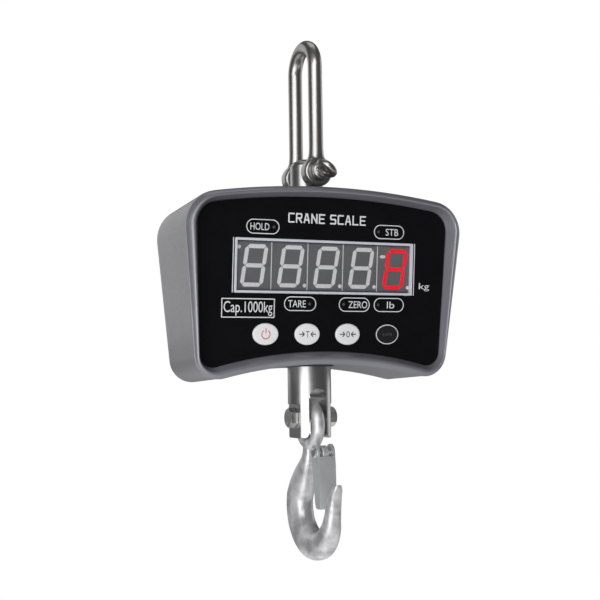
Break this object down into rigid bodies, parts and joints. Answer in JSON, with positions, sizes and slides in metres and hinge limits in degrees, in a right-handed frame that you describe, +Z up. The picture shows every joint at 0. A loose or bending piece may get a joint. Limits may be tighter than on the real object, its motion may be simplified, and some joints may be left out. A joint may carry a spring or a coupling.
{
  "type": "crane scale",
  "caption": "Hanging crane scale: long bow shackle, wide tilted display housing with keys, swivelling clevis and an eye hook with a sprung safety latch.",
  "frame": {"origin": "inside top of the shackle's bow, where the scale hangs", "axes": "+Z up along the load axis, -Y towards the display, +X to the right seen from the front"},
  "size_m": [0.215, 0.0804, 0.384],
  "materials": {
    "shackle_steel": "polished stainless steel",
    "turned_steel": "bright turned stainless steel",
    "zinc_steel": "bright zinc plating",
    "forged_zinc": "forged steel, bright zinc plating",
    "housing_paint": "satin silver grey paint",
    "bead_paint": "satin blue grey paint",
    "panel_black": "gloss black sheet",
    "trim_grey": "light lilac grey",
    "lens_clear": "clear window",
    "digit_grey": "matte dark grey with light segments",
    "button_white": "white membrane key",
    "button_black": "black membrane key with a white ring",
    "board_green": "solder resist",
    "rubber_black": "soft matte rubber",
    "battery_wrap": "shrink wrap",
    "plastic_dark": "moulded",
    "lamp_red": "tinted clear",
    "cell_steel": "ground alloy steel, nickel plated",
    "potting_white": "silicone"
  },
  "bodies": {
    "shackle": {"shackle_bow": "shackle_steel", "shackle_pin": "shackle_steel"},
    "housing": {"battery_door": "housing_paint", "battery_pack": "battery_wrap", "bottom_seal": "rubber_black", "buzzer": "plastic_dark", "cell_screw_1": "zinc_steel", "cell_screw_2": "zinc_steel", "cell_spacer_1": "zinc_steel", "cell_spacer_2": "zinc_steel", "charging_socket": "plastic_dark", "digit_module_1": "digit_grey", "digit_module_2": "digit_grey", "digit_module_3": "digit_grey", "digit_module_4": "digit_grey", "digit_module_5": "digit_grey", "display_board": "board_green", "display_lens": "lens_clear", "display_trim": "trim_grey", "door_screw_1": "zinc_steel", "door_screw_2": "zinc_steel", "front_frame": "bead_paint", "front_panel": "panel_black", "gauge_lead": "rubber_black", "gauge_potting": "potting_white", "housing_gasket": "rubber_black", "housing_screw_1": "zinc_steel", "housing_screw_2": "zinc_steel", "housing_screw_3": "zinc_steel", "housing_screw_4": "zinc_steel", "lamp_hold": "lamp_red", "lamp_stable": "lamp_red", "lamp_tare": "lamp_red", "lamp_unit": "lamp_red", "lamp_zero": "lamp_red", "load_cell": "cell_steel", "lower_race": "turned_steel", "main_board": "board_green", "power_switch": "plastic_dark", "rear_shell": "housing_paint", "spare_switch": "plastic_dark", "tare_switch": "plastic_dark", "top_seal": "rubber_black", "zero_switch": "plastic_dark"},
    "swivel": {"clevis": "turned_steel", "clevis_bolt": "zinc_steel", "lock_nut": "zinc_steel", "swivel_nut": "zinc_steel", "upper_race": "turned_steel", "ball_cage": "turned_steel"},
    "hook": {"hook": "forged_zinc", "latch_pin": "zinc_steel", "latch_spring": "zinc_steel"},
    "latch": {"latch": "zinc_steel"},
    "power_button": {"power_button": "button_white"},
    "tare_button": {"tare_button": "button_white"},
    "zero_button": {"zero_button": "button_white"},
    "spare_button": {"spare_button": "button_black"}
  },
  "joints": [
    {"name": "shackle_swing", "type": "hinge", "parent": "shackle", "child": "housing", "pos_m": [0, 0, -0.0916], "axis": [0, 1, 0], "range_deg": [-75, 75]},
    {"name": "swivel_turn", "type": "hinge", "parent": "housing", "child": "swivel", "pos_m": [0, 0, -0.2251], "axis": [0, 0, 1], "continuous": true},
    {"name": "hook_swing", "type": "hinge", "parent": "swivel", "child": "hook", "pos_m": [0, 0, -0.2709], "axis": [1, 0, 0], "range_deg": [-70, 70]},
    {"name": "latch_pivot", "type": "hinge", "parent": "hook", "child": "latch", "pos_m": [0, -0.022, -0.2956], "axis": [1, 0, 0], "range_deg": [0, 26], "stiffness_Nm_per_rad": 0.03, "springref_deg": -34.38},
    {"name": "power_button_press", "type": "slide", "parent": "housing", "child": "power_button", "axis": [0, 0.9952, 0.0979], "range_m": [0, 0.0008], "stiffness_N_per_m": 400, "springref_m": -0.001},
    {"name": "tare_button_press", "type": "slide", "parent": "housing", "child": "tare_button", "axis": [0, 0.9952, 0.0979], "range_m": [0, 0.0008], "stiffness_N_per_m": 400, "springref_m": -0.001},
    {"name": "zero_button_press", "type": "slide", "parent": "housing", "child": "zero_button", "axis": [0, 0.9952, 0.0979], "range_m": [0, 0.0008], "stiffness_N_per_m": 400, "springref_m": -0.001},
    {"name": "spare_button_press", "type": "slide", "parent": "housing", "child": "spare_button", "axis": [0, 0.9952, 0.0979], "range_m": [0, 0.0008], "stiffness_N_per_m": 400, "springref_m": -0.001}
  ]
}
